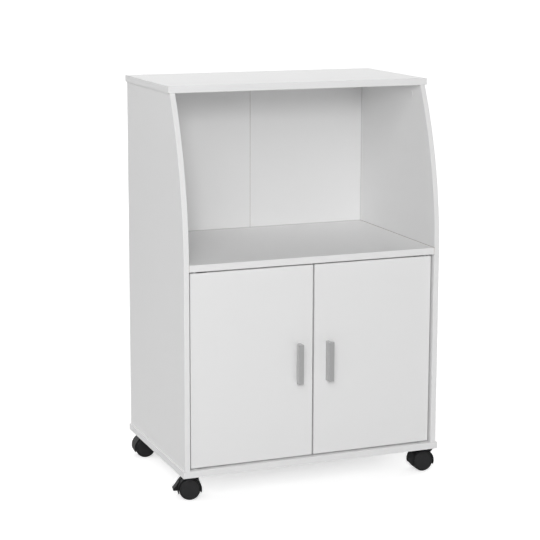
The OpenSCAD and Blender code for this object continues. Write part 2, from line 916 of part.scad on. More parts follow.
module hood(site) {
    braked = site[3];
    color(black_nylon)
    difference() {
        union() {
            at_axle(site) {
                intersection() {
                    difference() {
                        disc_y(2 * hood_r, -hood_w / 2, hood_w / 2);
                        disc_y(2 * hood_bore_r, -hood_w, hood_w);
                    }
                    sector(3 * hood_r, -fender_front_drop, 180 + fender_rear_drop, 2 * hood_w);
                }
                intersection() {
                    disc_y(2 * hood_bore_r + fender_t, -web_t / 2, web_t / 2);
                    sector(3 * hood_r, 0, 180, 2 * hood_w);
                }
                disc_y(axle_d + 2 * hub_wall, -web_t / 2, web_t / 2);
            }
            at_caster(site) translate([0, 0, neck_bottom]) cylinder(d = neck_d, h = neck_top - neck_bottom);
        }
        at_axle(site) {
            for (s = [-1, 1]) {
                disc_y(2 * hood_bore_r, s > 0 ? web_t / 2 : -hood_w, s > 0 ? hood_w : -web_t / 2);
            }
            disc_y(axle_d + 2 * fit, -hood_w, hood_w);
            if (braked) {
                brake_slot();
            }
        }
        at_caster(site) translate([0, 0, neck_top - kingpin_l - bore_extra])
            cylinder(d = kingpin_d + 2 * fit, h = kingpin_l + bore_extra + cut);
    }
}

// Room between the hood's cheeks for the brake lever, over its whole swing
module brake_slot() {
    slot_t = lever_t + 2 * lever_slot_gap;
    high = 180 - arm_angle - brake_swing;
    low = 180 - arm_angle;
    disc_y(lever_hub_d + 2 * lever_slot_gap, -slot_t / 2, slot_t / 2);
    sector(2 * hood_r, high, low, slot_t);
    for (a = [high, low]) {
        rotate([0, -a, 0])
            translate([0, -slot_t / 2, -lever_arm_w / 2 - lever_slot_gap])
            cube([2 * hood_r, slot_t, lever_arm_w + 2 * lever_slot_gap]);
    }
}

module caster_axle(site) {
    color(zinc)
    at_axle(site) {
        axle_half = web_t / 2 + wheel_gap + axle_depth - axle_end_gap;
        disc_y(axle_d, -axle_half, axle_half);
    }
}

tread_r = 2.5;
inner_rim = 3;
face_groove_r = 0.8;
face_rim = 3.2;

// Half section of a wheel: X is the radius, Y runs from its inner face to its outer face
module wheel_section() {
    r = wheel_d / 2;
    difference() {
        union() {
            square([r, wheel_w - tread_r]);
            square([r - tread_r, wheel_w]);
            translate([r - tread_r, wheel_w - tread_r]) circle(r = tread_r);
        }
        translate([-cut, -cut]) square([axle_d / 2 + fit + cut, axle_depth + cut]);
        translate([axle_d / 2 + hub_wall, -cut])
            square([r - inner_rim - axle_d / 2 - hub_wall, wheel_w / 2 + cut]);
        translate([r - face_rim, wheel_w]) circle(r = face_groove_r);
        translate([-cut - r, -cut]) square([r + cut, wheel_w + 2 * cut]);
    }
}

module wheel(site, s) {
    color(black_nylon)
    at_axle(site)
        translate([0, s * (web_t / 2 + wheel_gap), 0])
        rotate([-s * 90, 0, 0])
        rotate_extrude($fn = 72) wheel_section();
}

// Lever between the hood's cheeks, turning on the axle, with its pedal outside the fender
module brake_lever(site) {
    color(black_nylon)
    at_axle(site)
        rotate([0, site[4], 0]) {
            difference() {
                union() {
                    disc_y(lever_hub_d, -lever_t / 2, lever_t / 2);
                    rotate([0, -180 + arm_angle, 0])
                        translate([0, -lever_t / 2, -lever_arm_w / 2])
                        cube([pedal_in_r + 2, lever_t, lever_arm_w]);
                }
                disc_y(axle_d + 2 * fit, -lever_t, lever_t);
            }
            rotate([90, 0, 0])
                linear_extrude(pedal_w, center = true)
                polygon(concat(
                    arc_points(pedal_in_r, 180 - pedal_low, 180 - pedal_high, 6),
                    [on_arc(pedal_in_r + 1.7, 180 - pedal_high),
                     on_arc(pedal_in_r + 2, 180 - pedal_high + 12),
                     on_arc(pedal_in_r + 3.5, 180 - 14),
                     on_arc(brake_reach - 1, 180 - 3),
                     on_arc(brake_reach, 180 + 1),
                     on_arc(brake_reach - 1, 180 + 5)]));
        }
}

module front_left_caster_plate() {
    caster_plate(front_left);
}

module front_left_caster_hood() {
    hood(front_left);
}

module front_left_caster_axle() {
    caster_axle(front_left);
}

module front_left_wheel_a() {
    wheel(front_left, -1);
}

module front_left_wheel_b() {
    wheel(front_left, 1);
}

module front_left_brake_lever() {
    brake_lever(front_left);
}

module front_right_caster_plate() {
    caster_plate(front_right);
}

module front_right_caster_hood() {
    hood(front_right);
}

module front_right_caster_axle() {
    caster_axle(front_right);
}

module front_right_wheel_a() {
    wheel(front_right, -1);
}

module front_right_wheel_b() {
    wheel(front_right, 1);
}

module front_right_brake_lever() {
    brake_lever(front_right);
}

module back_left_caster_plate() {
    caster_plate(back_left);
}

module back_left_caster_hood() {
    hood(back_left);
}

module back_left_caster_axle() {
    caster_axle(back_left);
}

module back_left_wheel_a() {
    wheel(back_left, -1);
}

module back_left_wheel_b() {
    wheel(back_left, 1);
}

module back_right_caster_plate() {
    caster_plate(back_right);
}

module back_right_caster_hood() {
    hood(back_right);
}

module back_right_caster_axle() {
    caster_axle(back_right);
}

module back_right_wheel_a() {
    wheel(back_right, -1);
}

module back_right_wheel_b() {
    wheel(back_right, 1);
}

top_panel();
left_side_panel();
right_side_panel();
bottom_panel();
microwave_shelf();
inner_shelf();
shelf_pins();
left_back_leaf();
right_back_leaf();
back_fold_tape();
back_nails();
cam_locks();
cam_bolts();
cam_caps();
dowels();
bottom_screws();
pivot_bushes();
magnetic_catch();
catch_screws();
caster_screws();
left_door();
left_door_pivots();
left_door_handle();
left_handle_screws();
left_strike_plate();
right_door();
right_door_pivots();
right_door_handle();
right_handle_screws();
right_strike_plate();
front_left_caster_plate();
front_left_caster_hood();
front_left_caster_axle();
front_left_wheel_a();
front_left_wheel_b();
front_left_brake_lever();
front_right_caster_plate();
front_right_caster_hood();
front_right_caster_axle();
front_right_wheel_a();
front_right_wheel_b();
front_right_brake_lever();
back_left_caster_plate();
back_left_caster_hood();
back_left_caster_axle();
back_left_wheel_a();
back_left_wheel_b();
back_right_caster_plate();
back_right_caster_hood();
back_right_caster_axle();
back_right_wheel_a();
back_right_wheel_b();
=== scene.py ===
"""Looks of the microwave cart: finishes, edge-softened boards, casters, light and camera."""

import logging
import math
from dataclasses import dataclass, field
from enum import Enum
from typing import Any

import bpy
from mathutils import Matrix, Vector


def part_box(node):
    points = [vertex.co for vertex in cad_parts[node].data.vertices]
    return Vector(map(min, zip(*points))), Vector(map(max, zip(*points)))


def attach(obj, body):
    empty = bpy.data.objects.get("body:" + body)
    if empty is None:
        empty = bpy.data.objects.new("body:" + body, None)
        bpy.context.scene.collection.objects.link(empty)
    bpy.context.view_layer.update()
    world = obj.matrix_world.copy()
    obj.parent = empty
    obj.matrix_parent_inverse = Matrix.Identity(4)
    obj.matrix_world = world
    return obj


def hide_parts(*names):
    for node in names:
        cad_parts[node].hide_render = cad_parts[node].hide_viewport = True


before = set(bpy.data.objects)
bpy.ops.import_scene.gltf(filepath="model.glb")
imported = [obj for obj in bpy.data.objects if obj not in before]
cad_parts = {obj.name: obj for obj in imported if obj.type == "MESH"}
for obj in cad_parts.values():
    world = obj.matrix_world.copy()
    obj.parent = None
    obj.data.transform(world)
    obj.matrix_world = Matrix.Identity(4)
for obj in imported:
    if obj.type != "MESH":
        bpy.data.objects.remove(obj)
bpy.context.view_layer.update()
LOG = logging.getLogger("cart")
# The distance in metres over which one finish gives way to another.
HAIR = 0.0002
# The directions that screw heads face.
DOWN = (0.0, 0.0, -1.0)
REARWARD = (0.0, 1.0, 0.0)
Triple = tuple[float, float, float]
Colour = Triple


class Corner(Enum):
    """The four corners of the cart, by the start of their nodes' names."""

    FRONT_LEFT = "front_left"
    FRONT_RIGHT = "front_right"
    BACK_LEFT = "back_left"
    BACK_RIGHT = "back_right"


class Side(Enum):
    """The two sides of the cart, by the start of their nodes' names."""

    LEFT = "left"
    RIGHT = "right"


@dataclass(frozen=True)
class Seam:
    """A line where two boards meet, darkened with painted shade, on both sides of the origin."""

    axis: str
    place: float
    width: float = 0.0013
    core: float = 0.4


# ---- Shader building ----


class Signal:
    """A number that runs through a node tree and takes Python's arithmetic."""

    def __init__(self, graph: "Graph", socket: bpy.types.NodeSocket) -> None:
        """Wraps a socket.

        Args:
            graph: the tree that the socket belongs to.
            socket: the output that carries the number.
        """
        self.graph = graph
        self.socket = socket

    def maths(self, operation: str, *values: Any) -> "Signal":
        """Adds a Math node.

        Args:
            operation: the node's operation.
            values: its inputs in order, numbers or signals.

        Returns:
            The node's result.
        """
        node = self.graph.add("ShaderNodeMath", {"operation": operation}, dict(enumerate(values)))
        return Signal(self.graph, node.outputs[0])

    def __add__(self, other: Any) -> "Signal":
        """Adds a number or signal."""
        return self.maths("ADD", self, other)

    __radd__ = __add__

    def __sub__(self, other: Any) -> "Signal":
        """Takes away a number or signal."""
        return self.maths("SUBTRACT", self, other)

    def __rsub__(self, other: Any) -> "Signal":
        """Is taken away from a number or signal."""
        return self.maths("SUBTRACT", other, self)

    def __mul__(self, other: Any) -> "Signal":
        """Multiplies by a number or signal."""
        return self.maths("MULTIPLY", self, other)

    __rmul__ = __mul__

    def above(self, start: float, end: float) -> "Signal":
        """Rises smoothly from 0 at start to 1 at end.

        Args:
            start: the value below which the result is 0.
            end: the value above which the result is 1.

        Returns:
            A mask between 0 and 1.
        """
        node = self.graph.add(
            "ShaderNodeMapRange",
            {"interpolation_type": "SMOOTHSTEP"},
            {"Value": self, "From Min": start, "From Max": end},
        )
        return Signal(self.graph, node.outputs["Result"])

    def size(self) -> "Signal":
        """Gives the value without its sign."""
        return self.maths("ABSOLUTE", self)

    def sine(self) -> "Signal":
        """Gives the sine of the value in radians."""
        return self.maths("SINE", self)


class Graph:
    """The node tree of one material, with its output and one Principled shader."""

    # A Mix node has sockets for each data type, and these are the ones for colours.
    MIX_SOCKETS = (0, 6, 7)
    MIX_RESULT = 2

    def __init__(self, name: str) -> None:
        """Starts an empty material.

        Args:
            name: the material's name.
        """
        self.material = bpy.data.materials.new(name)
        self.material.use_nodes = True
        self.tree = self.material.node_tree
        self.tree.nodes.clear()
        self.output = self.add("ShaderNodeOutputMaterial")
        self.coordinates = self.add("ShaderNodeTexCoord").outputs["Object"]

    def add(
        self,
        kind: str,
        settings: dict[str, Any] | None = None,
        inputs: dict[Any, Any] | None = None,
    ) -> bpy.types.Node:
        """Adds any node.

        Args:
            kind: the node's type.
            settings: its properties, set first.
            inputs: values, sockets or signals by socket name or number.

        Returns:
            The new node.
        """
        node = self.tree.nodes.new(kind)
        for key, value in (settings or {}).items():
            setattr(node, key, value)
        for key, value in (inputs or {}).items():
            if isinstance(value, Signal):
                value = value.socket
            if isinstance(value, bpy.types.NodeSocket):
                self.tree.links.new(value, node.inputs[key])
            else:
                node.inputs[key].default_value = value
        return node

    def stretched(self, scale: Triple) -> bpy.types.NodeSocket:
        """Gives object coordinates scaled along each axis.

        Args:
            scale: the factor along X, Y and Z.

        Returns:
            The scaled vector.
        """
        node = self.add("ShaderNodeMapping", inputs={"Vector": self.coordinates, "Scale": scale})
        return node.outputs["Vector"]

    def noise(
        self,
        scale: float,
        detail: float = 2.0,
        roughness: float = 0.5,
        stretch: Triple | None = None,
    ) -> Signal:
        """Adds a noise pattern.

        Args:
            scale: its cells per metre.
            detail: how many finer layers it has.
            roughness: the weight of those layers.
            stretch: a factor along each axis, if it isn't even.

        Returns:
            The pattern between 0 and 1.
        """
        vector = self.stretched(stretch) if stretch else self.coordinates
        node = self.add(
            "ShaderNodeTexNoise",
            inputs={"Vector": vector, "Scale": scale, "Detail": detail, "Roughness": roughness},
        )
        return Signal(self, node.outputs["Fac"])

    def axis(self, letter: str) -> Signal:
        """Gives one object coordinate in metres.

        Args:
            letter: X, Y or Z.

        Returns:
            The coordinate.
        """
        node = self.add("ShaderNodeSeparateXYZ", inputs={0: self.coordinates})
        return Signal(self, node.outputs[letter])

    def seams(self, lines: tuple[Seam, ...]) -> Signal:
        """Marks the narrow strips where boards meet.

        Args:
            lines: the seams, at least one.

        Returns:
            0 on a seam and 1 away from all of them.
        """
        mask: Any = 1.0
        for line in lines:
            away = (self.axis(line.axis).size() - line.place).size()
            mask = away.above(line.width * line.core, line.width) * mask
        return mask

    def blend(self, factor: Any, first: Any, second: Any) -> bpy.types.NodeSocket:
        """Mixes two colours.

        Args:
            factor: 0 for the first colour, 1 for the second.
            first: a colour or a colour socket.
            second: a colour or a colour socket.

        Returns:
            The mixed colour.
        """
        first = (*first, 1.0) if isinstance(first, tuple) else first
        second = (*second, 1.0) if isinstance(second, tuple) else second
        inputs = dict(zip(self.MIX_SOCKETS, (factor, first, second)))
        node = self.add("ShaderNodeMix", {"data_type": "RGBA"}, inputs)
        return node.outputs[self.MIX_RESULT]

    def bump(self, height: Signal, depth: float) -> bpy.types.NodeSocket:
        """Turns a height into a surface normal.

        Args:
            height: the height between 0 and 1.
            depth: the depth of the relief in metres.

        Returns:
            The normal.
        """
        node = self.add(
            "ShaderNodeBump", inputs={"Height": height, "Distance": depth, "Strength": 1.0}
        )
        return node.outputs["Normal"]

    def surface(self, **sockets: Any) -> bpy.types.Material:
        """Ends the material with a Principled shader.

        Args:
            sockets: its inputs, with underscores for the spaces in their names.

        Returns:
            The material.
        """
        values = {key.replace("_", " "): value for key, value in sockets.items()}
        shader = self.add("ShaderNodeBsdfPrincipled", inputs=values)
        self.tree.links.new(shader.outputs["BSDF"], self.output.inputs["Surface"])
        return self.material


def scaled(colour: Colour, factor: float) -> Colour:
    """Multiplies a colour.

    Args:
        colour: linear red, green and blue.
        factor: what each is multiplied by.

    Returns:
        The new colour.
    """
    return (colour[0] * factor, colour[1] * factor, colour[2] * factor)


# ---- Finishes ----


@dataclass(frozen=True)
class Melamine:
    """White melamine board: a fine pearl relief, faint cloudiness, a few rubbed spots and painted
    shade along the given joints.
    """

    name: str = "white melamine"
    colour: Colour = (0.88, 0.88, 0.88)
    roughness: float = 0.46
    pearl: float = 0.00004
    lines: tuple[Seam, ...] = ()
    reach: float = 1.0
    # The share of the colour kept in the painted shade along the joints.
    joint_shade: float = 0.62
    cloud_cells: float = 3.0
    rub_cells: float = 38.0
    speck_cells: float = 2600.0
    pearl_cells: float = 1500.0
    wave_cells: float = 140.0

    def build(self) -> bpy.types.Material:
        """Makes the material.

        Returns:
            The new material.
        """
        g = Graph(self.name)
        cloud = g.noise(self.cloud_cells, 3.0, 0.55)
        rubbed = g.noise(self.rub_cells, 4.0, 0.6, (1.0, 1.0, 0.35)).above(0.60, 0.74)
        speck = g.noise(self.speck_cells, 1.0, 0.4).above(0.66, 0.80)
        tone = g.blend(cloud, scaled(self.colour, 0.985), self.colour)
        tone = g.blend(rubbed * 0.22, tone, scaled(self.colour, 0.965))
        tone = g.blend(speck * 0.10, tone, scaled(self.colour, 0.93))
        # Painted shade: a dark strip along each joint with another board, kept inside the bay.
        if self.lines:
            inside = 1.0 - g.axis("X").size().above(self.reach, self.reach + HAIR)
            joint_shade_mask = (1.0 - g.seams(self.lines)) * inside
            tone = g.blend(joint_shade_mask, tone, scaled(self.colour, self.joint_shade))
        relief = g.noise(self.pearl_cells)
        wave = g.noise(self.wave_cells, 1.0, 0.4)
        return g.surface(
            Base_Color=tone,
            Roughness=rubbed * 0.10 + cloud * 0.05 + (self.roughness - 0.03),
            Normal=g.bump(relief + wave * 0.8, self.pearl),
        )


@dataclass(frozen=True)
class Hardboard:
    """Hardboard back: white lacquer inside with painted shade along its joints, bare brown
    screen-pressed fibre behind.
    """

    name: str
    rear_y: float
    lacquer: Colour = (0.88, 0.88, 0.88)
    fibre: Colour = (0.235, 0.135, 0.072)
    mesh: float = 0.0016
    lines: tuple[Seam, ...] = ()
    # The share of the lacquer colour kept in the painted shade along the joints.
    joint_shade: float = 0.62
    bare_depth: float = 0.0026
    relief: float = 0.00012
    cloud_cells: float = 5.0
    fibre_cells: float = 420.0
    orange_peel_cells: float = 900.0

    def build(self) -> bpy.types.Material:
        """Makes the material.

        Returns:
            The new material.
        """
        g = Graph(self.name)
        face = self.rear_y - self.bare_depth
        bare = g.axis("Y").above(face - HAIR, face + HAIR)
        cloud = g.noise(self.cloud_cells, 4.0, 0.6)
        fibres = g.noise(self.fibre_cells, 4.0, 0.65, (1.0, 1.0, 0.45))
        white = g.blend(cloud, scaled(self.lacquer, 0.98), self.lacquer)
        # Painted shade: dark strips where the back meets the shelf, the sides and the top and
        # bottom boards.
        if self.lines:
            white = g.blend(1.0 - g.seams(self.lines), white, scaled(self.lacquer, self.joint_shade))
        brown = g.blend(fibres.above(0.3, 0.7), scaled(self.fibre, 0.72), scaled(self.fibre, 1.28))
        brown = g.blend(cloud * 0.35, brown, scaled(self.fibre, 0.85))
        turns = 2.0 * math.pi / self.mesh
        screen = (g.axis("X") * turns).sine() * (g.axis("Z") * turns).sine() * 0.5 + 0.5
        peel = g.noise(self.orange_peel_cells)
        height = bare * (screen * 0.6 + fibres * 0.8) + (1.0 - bare) * peel * 0.15
        return g.surface(
            Base_Color=g.blend(bare, white, brown),
            Roughness=bare * 0.32 + cloud * 0.06 + 0.45,
            Normal=g.bump(height, self.relief),
        )


@dataclass(frozen=True)
class Silver:
    """Silver-grey handle: metallic paint with a fine flake under a clear lacquer."""

    name: str = "silver lacquer"
    colour: Colour = (0.454, 0.455, 0.457)
    roughness: float = 0.36
    coat: float = 1.0
    coat_roughness: float = 0.12
    relief: float = 0.00002
    flake_cells: float = 3800.0
    cloud_cells: float = 24.0

    def build(self) -> bpy.types.Material:
        """Makes the material.

        Returns:
            The new material.
        """
        g = Graph(self.name)
        flake = g.noise(self.flake_cells, 1.0, 0.5)
        cloud = g.noise(self.cloud_cells, 3.0, 0.55)
        dull, bright = scaled(self.colour, 0.92), scaled(self.colour, 1.10)
        tone = g.blend(flake.above(0.42, 0.66), dull, bright)
        tone = g.blend(cloud * 0.3, tone, scaled(self.colour, 0.93))
        return g.surface(
            Base_Color=tone,
            Metallic=flake * 0.2 + 0.35,
            Roughness=cloud * 0.10 + (self.roughness - 0.05),
            Coat_Weight=self.coat,
            Coat_Roughness=self.coat_roughness,
            Normal=g.bump(flake, self.relief),
        )


@dataclass(frozen=True)
class Plated:
    """Zinc plated or bare steel with drawn marks and dull spots."""

    name: str = "zinc plated steel"
    colour: Colour = (0.62, 0.63, 0.64)
    roughness: float = 0.30
    relief: float = 0.00003
    cloud_cells: float = 110.0
    mark_cells: float = 900.0

    def build(self) -> bpy.types.Material:
        """Makes the material.

        Returns:
            The new material.
        """
        g = Graph(self.name)
        cloud = g.noise(self.cloud_cells, 4.0, 0.6)
        marks = g.noise(self.mark_cells, stretch=(1.0, 1.0, 0.15))
        tone = g.blend(cloud.above(0.35, 0.7), self.colour, scaled(self.colour, 0.82))
        return g.surface(
            Base_Color=tone,
            Metallic=1.0,
            Roughness=cloud * 0.22 + marks * 0.08 + (self.roughness - 0.10),
            Normal=g.bump(marks, self.relief),
        )


@dataclass(frozen=True)
class Moulded:
    """Moulded plastic: fine spark grain, faint flow clouds and rubbed patches."""

    name: str
    colour: Colour
    roughness: float = 0.42
    grain: float = 0.00006
    rubbed: float = 0.35
    shine: float = 0.5
    cloud_cells: float = 60.0
    wear_cells: float = 170.0
    grain_cells: float = 2400.0

    def build(self) -> bpy.types.Material:
        """Makes the material.

        Returns:
            The new material.
        """
        g = Graph(self.name)
        cloud = g.noise(self.cloud_cells, 3.0, 0.6)
        worn = g.noise(self.wear_cells, 4.0, 0.62).above(0.56, 0.74)
        grain = g.noise(self.grain_cells, 2.0, 0.55)
        tone = g.blend(cloud, scaled(self.colour, 0.86), scaled(self.colour, 1.12))
        tone = g.blend(worn * self.rubbed, tone, scaled(self.colour, 1.45))
        return g.surface(
            Base_Color=tone,
            Roughness=cloud * 0.08 + worn * -0.08 + self.roughness,
            Specular_IOR_Level=self.shine,
            Normal=g.bump(grain, self.grain),
        )


@dataclass(frozen=True)
class Birch:
    """Plain birch for the dowels, with its grain along one axis."""

    name: str = "birch"
    colour: Colour = (0.52, 0.37, 0.21)
    relief: float = 0.00008
    grain_cells: float = 700.0

    def build(self) -> bpy.types.Material:
        """Makes the material.

        Returns:
            The new material.
        """
        g = Graph(self.name)
        grain = g.noise(self.grain_cells, 4.0, 0.6, (1.0, 1.0, 0.08))
        tone = g.blend(grain.above(0.35, 0.65), scaled(self.colour, 0.75), self.colour)
        return g.surface(
            Base_Color=tone, Roughness=grain * 0.2 + 0.5, Normal=g.bump(grain, self.relief)
        )


@dataclass(frozen=True)
class Chipboard:
    """Raw particle board, on the edges that carry no banding."""

    name: str = "raw chipboard"
    colour: Colour = (0.40, 0.30, 0.19)
    relief: float = 0.0004
    chip_cells: float = 520.0
    bark_cells: float = 330.0

    def build(self) -> bpy.types.Material:
        """Makes the material.

        Returns:
            The new material.
        """
        g = Graph(self.name)
        chips = g.noise(self.chip_cells, 4.0, 0.7, (0.5, 0.5, 1.6))
        bark = g.noise(self.bark_cells, 3.0, 0.6).above(0.56, 0.66)
        deep, pale = scaled(self.colour, 0.66), scaled(self.colour, 1.35)
        tone = g.blend(chips.above(0.34, 0.64), deep, pale)
        tone = g.blend(bark * 0.6, tone, scaled(self.colour, 0.42))
        return g.surface(
            Base_Color=tone, Roughness=chips * 0.12 + 0.72, Normal=g.bump(chips, self.relief)
        )


@dataclass
class Palette:
    """All finishes of the cart, each built once."""

    made: dict[str, bpy.types.Material] = field(default_factory=dict)

    def get(self, finish: Any) -> bpy.types.Material:
        """Builds a finish the first time it is asked for.

        Args:
            finish: one of the finish classes.

        Returns:
            Its material.
        """
        if finish.name not in self.made:
            self.made[finish.name] = finish.build()
        return self.made[finish.name]


# ---- Workshop: modelling with operators ----


class Bench:
    """Operators that are used again and again while modelling."""

    # Points closer than this many metres are joined, and faces flatter than this merged.
    MERGE = 0.000004
    FLAT = math.radians(0.6)
    # An edge from this angle is rounded, and one up to this angle is shaded smooth.
    SHARP = math.radians(28.0)
    SMOOTH = math.radians(38.0)
    ROUNDING_FACES = 2
    FACE_WEIGHT = 80
    # The rounding of a screw's head, and the shape of its cross as shares of an arm.
    HEAD_EDGE = 0.0004
    ARM_WIDTH = 0.24
    ARM_DEPTH = 0.6
    CROSS_TURN = 0.5

    @staticmethod
    def clear() -> None:
        """Leaves object mode with nothing selected."""
        if bpy.context.object and bpy.context.object.mode != "OBJECT":
            bpy.ops.object.mode_set(mode="OBJECT")
        bpy.ops.object.select_all(action="DESELECT")

    @staticmethod
    def pick(piece: bpy.types.Object) -> None:
        """Selects one object alone and makes it the active one.

        Args:
            piece: the object.
        """
        Bench.clear()
        piece.select_set(True)
        bpy.context.view_layer.objects.active = piece

    @staticmethod
    def copy_node(node: str, name: str) -> bpy.types.Object:
        """Copies a CAD node's solid and joins its loose faces.

        Args:
            node: the CAD node.
            name: the new piece's name.

        Returns:
            The copy, with flat regions merged into single faces.
        """
        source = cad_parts[node]
        piece = source.copy()
        piece.data = source.data.copy()
        piece.name = name
        piece.data.name = name
        piece.parent = None
        piece.matrix_world = Matrix.Identity(4)
        for key in list(piece.keys()):
            del piece[key]
        bpy.context.scene.collection.objects.link(piece)
        Bench.pick(piece)
        if piece.data.has_custom_normals:
            bpy.ops.mesh.customdata_custom_splitnormals_clear()
        bpy.ops.object.mode_set(mode="EDIT")
        bpy.ops.mesh.select_all(action="SELECT")
        bpy.ops.mesh.remove_doubles(threshold=Bench.MERGE)
        bpy.ops.mesh.dissolve_limited(angle_limit=Bench.FLAT)
        bpy.ops.object.mode_set(mode="OBJECT")
        return piece

    @staticmethod
    def weigh_long_edges(piece: bpy.types.Object, shortest: float) -> None:
        """Marks the sharp edges that are long enough to be rounded, which leaves out bores.

        Args:
            piece: the object.
            shortest: the length in metres from which an edge counts.
        """
        Bench.pick(piece)
        bpy.ops.object.mode_set(mode="EDIT")
        bpy.ops.mesh.select_mode(type="EDGE")
        bpy.ops.mesh.select_all(action="DESELECT")
        bpy.ops.mesh.edges_select_sharp(sharpness=Bench.SHARP)
        bpy.ops.object.mode_set(mode="OBJECT")
        points = piece.data.vertices
        for edge in piece.data.edges:
            start, end = (points[index].co for index in edge.vertices)
            edge.select = edge.select and (end - start).length >= shortest
        bpy.ops.object.mode_set(mode="EDIT")
        bpy.ops.transform.edge_bevelweight(value=1.0)
        bpy.ops.object.mode_set(mode="OBJECT")

    @staticmethod
    def soften(piece: bpy.types.Object, width: float, shortest: float = 0.0) -> None:
        """Rounds sharp edges a little and shades the rest smooth.

        Args:
            piece: the object.
            width: the width of the rounding in metres.
            shortest: the length in metres from which an edge is rounded, 0 for all edges.
        """
        if shortest:
            Bench.weigh_long_edges(piece, shortest)
        Bench.pick(piece)
        rounding = piece.modifiers.new("rounding", "BEVEL")
        rounding.width = width
        rounding.segments = Bench.ROUNDING_FACES
        rounding.limit_method = "WEIGHT" if shortest else "ANGLE"
        rounding.angle_limit = Bench.SHARP
        rounding.use_clamp_overlap = not shortest
        rounding.harden_normals = False
        bpy.ops.object.modifier_apply(modifier=rounding.name)
        bpy.ops.object.shade_smooth_by_angle(angle=Bench.SMOOTH)
        level = piece.modifiers.new("level", "WEIGHTED_NORMAL")
        level.mode = "FACE_AREA"
        level.weight = Bench.FACE_WEIGHT
        level.keep_sharp = True
        bpy.ops.object.modifier_apply(modifier=level.name)

    @staticmethod
    def dress(piece: bpy.types.Object, material: bpy.types.Material) -> None:
        """Gives an object one material and nothing else."""
        piece.data.materials.clear()
        piece.data.materials.append(material)

    @staticmethod
    def dress_beyond(
        piece: bpy.types.Object, material: bpy.types.Material, axis: int, level: float
    ) -> None:
        """Gives the faces that lie beyond a plane a further material.

        Args:
            piece: the object.
            material: the further material.
            axis: 0, 1 or 2 for X, Y or Z.
            level: the plane's place; below zero the faces under it are meant.
        """
        Bench.pick(piece)
        if material.name not in piece.data.materials:
            piece.data.materials.append(material)
        bpy.ops.object.mode_set(mode="EDIT")
        bpy.ops.mesh.select_mode(type="FACE")
        bpy.ops.mesh.select_all(action="DESELECT")
        bpy.ops.object.mode_set(mode="OBJECT")
        for face in piece.data.polygons:
            place = face.center[axis]
            face.select = place > level if level > 0.0 else place < level
        bpy.ops.object.mode_set(mode="EDIT")
        piece.active_material_index = len(piece.data.materials) - 1
        bpy.ops.object.material_slot_assign()
        bpy.ops.object.mode_set(mode="OBJECT")

    @staticmethod
    def heads(piece: bpy.types.Object, outward: Vector) -> list[Vector]:
        """Finds the middle of the end of every loose part of an object.

        Args:
            piece: the object.
            outward: the axis direction in which the ends lie.

        Returns:
            One point for each loose part.
        """
        Bench.pick(piece)
        bpy.ops.object.duplicate()
        bpy.ops.object.mode_set(mode="EDIT")
        bpy.ops.mesh.select_all(action="SELECT")
        bpy.ops.mesh.separate(type="LOOSE")
        bpy.ops.object.mode_set(mode="OBJECT")
        points = []
        for part in list(bpy.context.selected_objects):
            box = [Vector(corner) for corner in part.bound_box]
            middle = sum(box, Vector()) / 8.0
            reach = max((corner - middle).dot(outward) for corner in box)
            points.append(middle + outward * reach)
        bpy.ops.object.delete()
        return points

    @staticmethod
    def cross_cutter(points: list[Vector], outward: Vector, across: float) -> bpy.types.Object:
        """Models crosses that cut recesses into screw heads.

        Args:
            points: the middles of the heads' ends.
            outward: the direction that the heads face.
            across: the length of a cross's arms.

        Returns:
            One object with all crosses.
        """
        Bench.clear()
        turn = outward.to_track_quat("Z", "Y").to_euler()
        bars = []
        for point in points:
            for quarter in (0.0, math.pi / 2.0):
                bpy.ops.mesh.primitive_cube_add(size=1.0)
                bar = bpy.context.object
                bpy.ops.object.mode_set(mode="EDIT")
                bpy.ops.mesh.select_all(action="SELECT")
                bpy.ops.transform.resize(
                    value=(across, across * Bench.ARM_WIDTH, across * Bench.ARM_DEPTH)
                )
                bpy.ops.object.mode_set(mode="OBJECT")
                bar.matrix_world = (
                    Matrix.Translation(point)
                    @ turn.to_matrix().to_4x4()
                    @ Matrix.Rotation(quarter + Bench.CROSS_TURN, 4, "Z")
                )
                bpy.ops.object.transform_apply(location=True, rotation=True, scale=True)
                bars.append(bar)
        Bench.clear()
        for bar in bars:
            bar.select_set(True)
        bpy.context.view_layer.objects.active = bars[0]
        bpy.ops.object.join()
        return bars[0]

    @staticmethod
    def carve(piece: bpy.types.Object, cutter: bpy.types.Object) -> None:
        """Takes one object's volume out of another and removes the cutter.

        Args:
            piece: the object that is cut.
            cutter: the object whose volume is taken out.
        """
        Bench.pick(piece)
        recess = piece.modifiers.new("recess", "BOOLEAN")
        recess.operation = "DIFFERENCE"
        recess.solver = "EXACT"
        recess.use_self = True
        recess.object = cutter
        bpy.ops.object.modifier_apply(modifier=recess.name)
        bpy.data.objects.remove(cutter)


def stand_in(piece: bpy.types.Object, node: str, body: str, material: bpy.types.Material) -> None:
    """Dresses a piece, lets it ride on its body and stands it in for its CAD node.

    Args:
        piece: the finished piece.
        node: the CAD node.
        body: the body that it rides on.
        material: its finish.
    """
    Bench.dress(piece, material)
    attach(piece, body)
    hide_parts(node)
    LOG.info("%s: %d faces", piece.name, len(piece.data.polygons))


def soft_copy(
    node: str,
    body: str,
    material: bpy.types.Material,
    width: float,
    shortest: float = 0.0,
) -> bpy.types.Object:
    """Stands a copy with softened edges in for a CAD node.

    Args:
        node: the CAD node.
        body: the body that it rides on.
        material: its finish.
        width: the width of the edge rounding in metres.
        shortest: the length in metres from which an edge is rounded, 0 for all edges.

    Returns:
        The new piece.
    """
    piece = Bench.copy_node(node, node + "_soft")
    Bench.soften(piece, width, shortest)
    stand_in(piece, node, body, material)
    return piece


